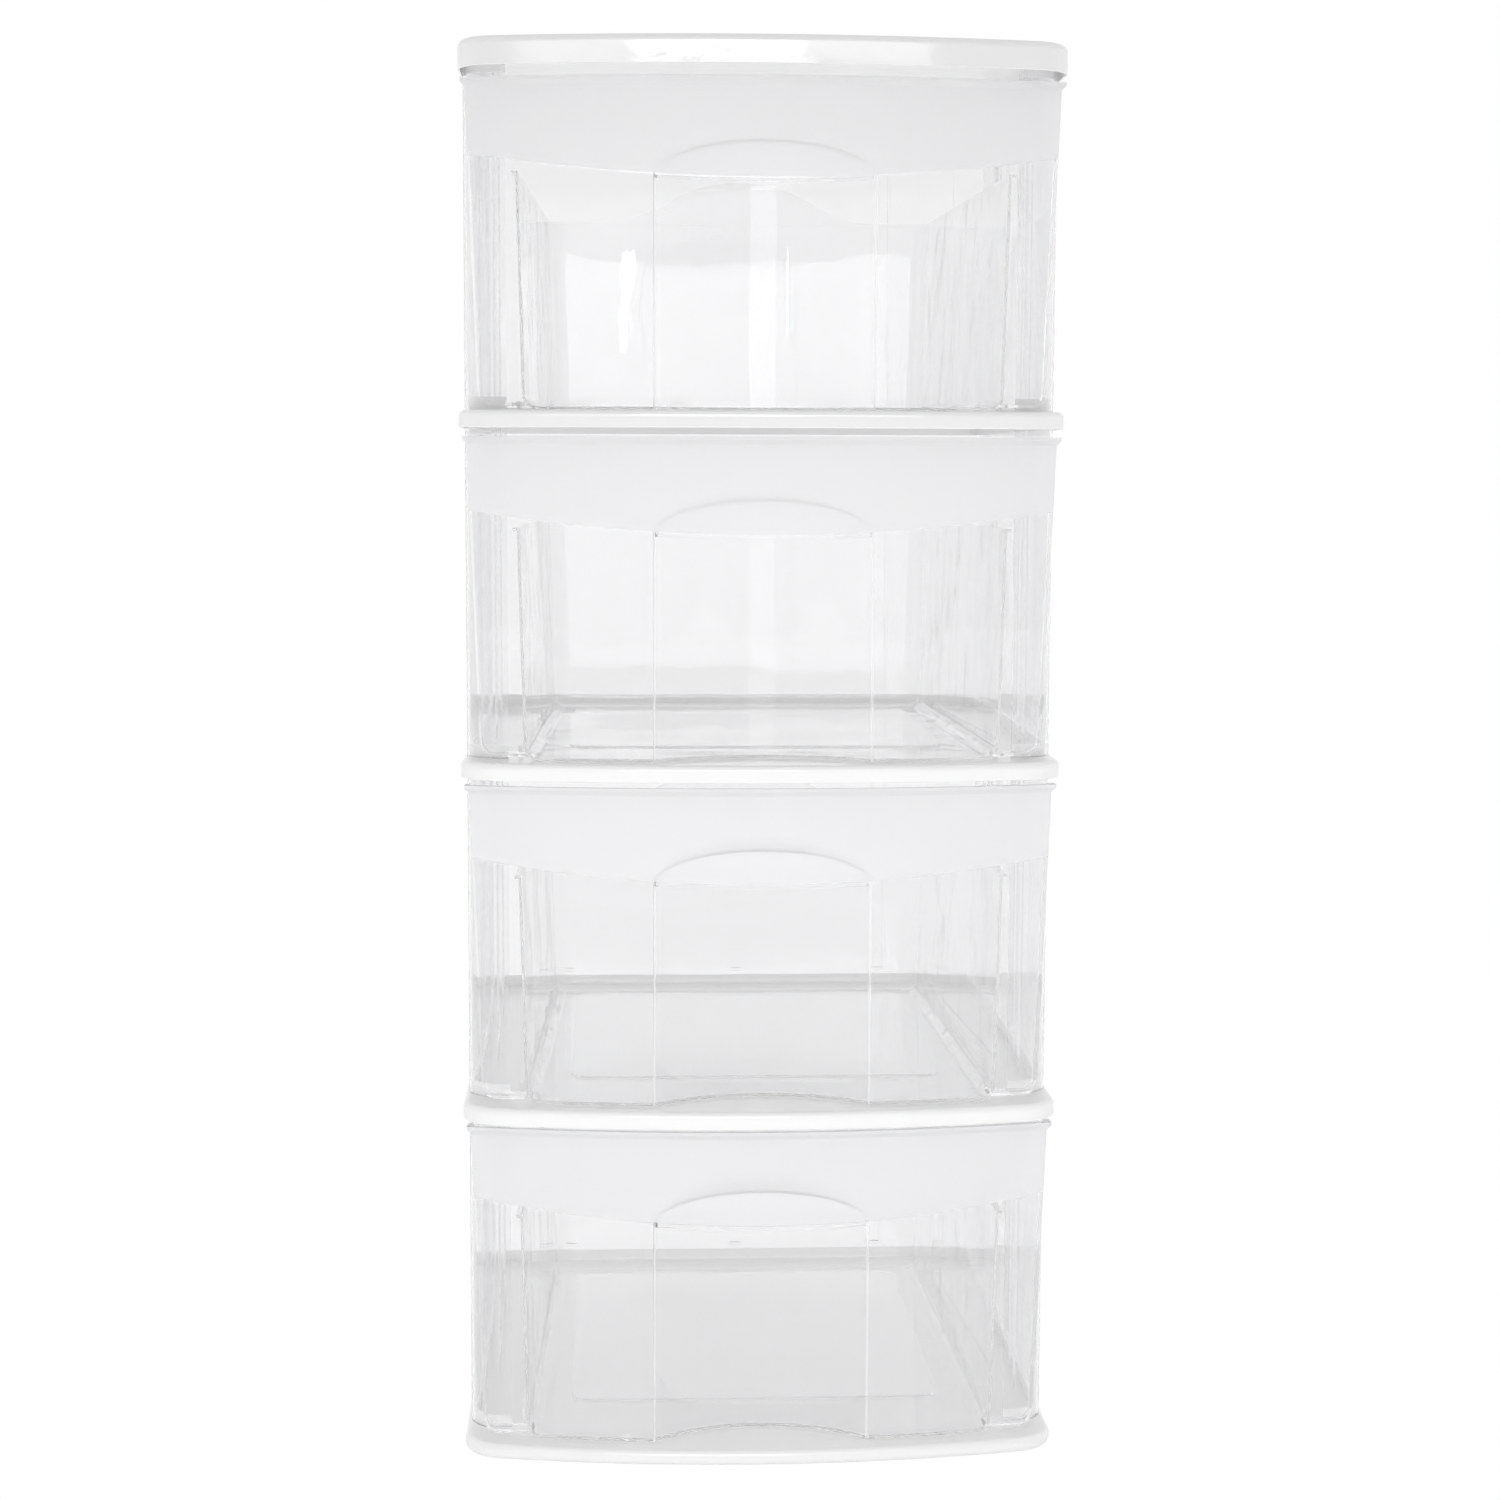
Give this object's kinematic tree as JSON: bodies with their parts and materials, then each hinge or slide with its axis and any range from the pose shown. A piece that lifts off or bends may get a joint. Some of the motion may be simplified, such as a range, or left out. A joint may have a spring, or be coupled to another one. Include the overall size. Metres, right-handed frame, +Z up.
{
  "type": "plastic drawer tower",
  "caption": "Upright plastic storage tower: white trays and lid on clear panels, with clear bow-fronted drawers that slide out by hooded finger pulls.",
  "frame": {"origin": "on the floor, below the middle of the tower's box", "axes": "+Z up, the drawer fronts face -Y, +X to the right of someone who faces the drawer fronts"},
  "size_m": [0.38, 0.44, 0.8925],
  "materials": {
    "white_casing": "white moulded polypropylene, softly glossy",
    "clear_panel": "clear moulded polystyrene sheet",
    "clear_drawer": "clear moulded polystyrene, frosted along the top of the front"
  },
  "bodies": {
    "casing": {"top_lid": "white_casing", "base_tray": "white_casing", "shelf_1": "white_casing", "shelf_2": "white_casing", "shelf_3": "white_casing", "left_panel_1": "clear_panel", "right_panel_1": "clear_panel", "back_panel_1": "clear_panel", "left_panel_2": "clear_panel", "right_panel_2": "clear_panel", "back_panel_2": "clear_panel", "left_panel_3": "clear_panel", "right_panel_3": "clear_panel", "back_panel_3": "clear_panel", "left_panel_4": "clear_panel", "right_panel_4": "clear_panel", "back_panel_4": "clear_panel"},
    "drawer_1": {"drawer_1": "clear_drawer"},
    "drawer_2": {"drawer_2": "clear_drawer"},
    "drawer_3": {"drawer_3": "clear_drawer"},
    "drawer_4": {"drawer_4": "clear_drawer"}
  },
  "joints": [
    {"name": "drawer_1_slide", "type": "slide", "parent": "casing", "child": "drawer_1", "axis": [0, -1, 0], "range_m": [0, 0.33]},
    {"name": "drawer_2_slide", "type": "slide", "parent": "casing", "child": "drawer_2", "axis": [0, -1, 0], "range_m": [0, 0.33]},
    {"name": "drawer_3_slide", "type": "slide", "parent": "casing", "child": "drawer_3", "axis": [0, -1, 0], "range_m": [0, 0.33]},
    {"name": "drawer_4_slide", "type": "slide", "parent": "casing", "child": "drawer_4", "axis": [0, -1, 0], "range_m": [0, 0.33]}
  ]
}
